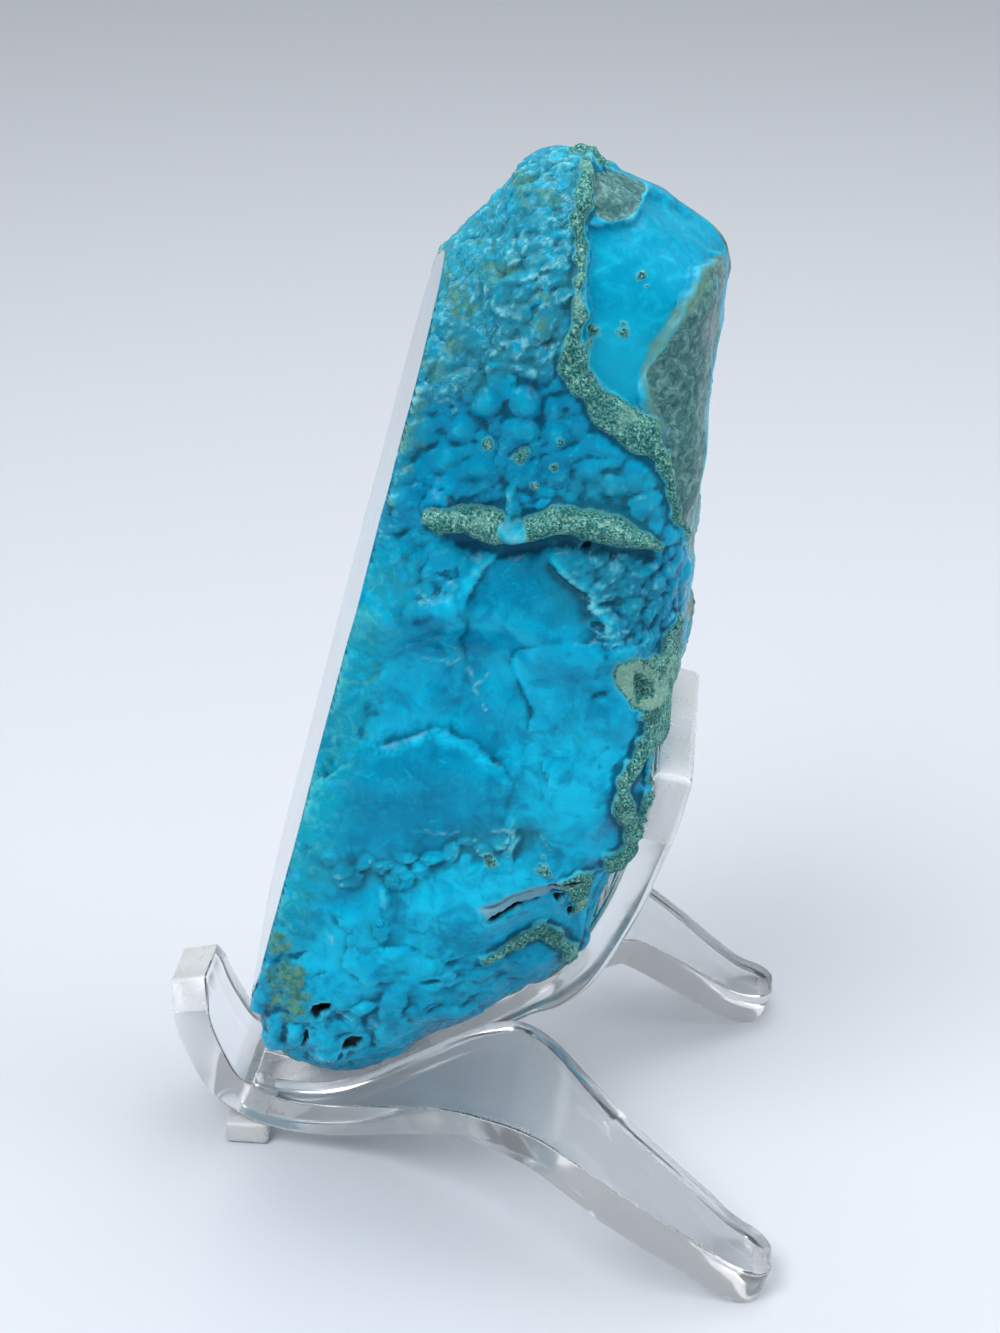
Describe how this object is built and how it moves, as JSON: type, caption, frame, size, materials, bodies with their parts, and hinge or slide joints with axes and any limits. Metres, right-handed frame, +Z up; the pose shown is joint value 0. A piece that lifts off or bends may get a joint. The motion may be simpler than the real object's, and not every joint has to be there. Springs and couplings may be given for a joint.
{
  "type": "chrysocolla specimen",
  "caption": "Polished and natural chrysocolla stone leaning back in a clear plastic display easel, for a shelf or desk.",
  "frame": {"origin": "on the surface that the easel stands on, under the middle of the object's box", "axes": "+Z up; -X towards the easel's upturned hook and the stone's polished face; +X towards the rear legs; -Y towards the stone's natural botryoidal face"},
  "size_m": [0.0529, 0.0488, 0.0885],
  "materials": {
    "chrysocolla": "natural botryoidal skin, glossy, with one flat polished face",
    "clear_plastic": "clear, glossy, with bright whitish edges"
  },
  "bodies": {
    "root": {"specimen": "chrysocolla", "easel_cradle": "clear_plastic", "easel_backrest": "clear_plastic"}
  },
  "joints": []
}
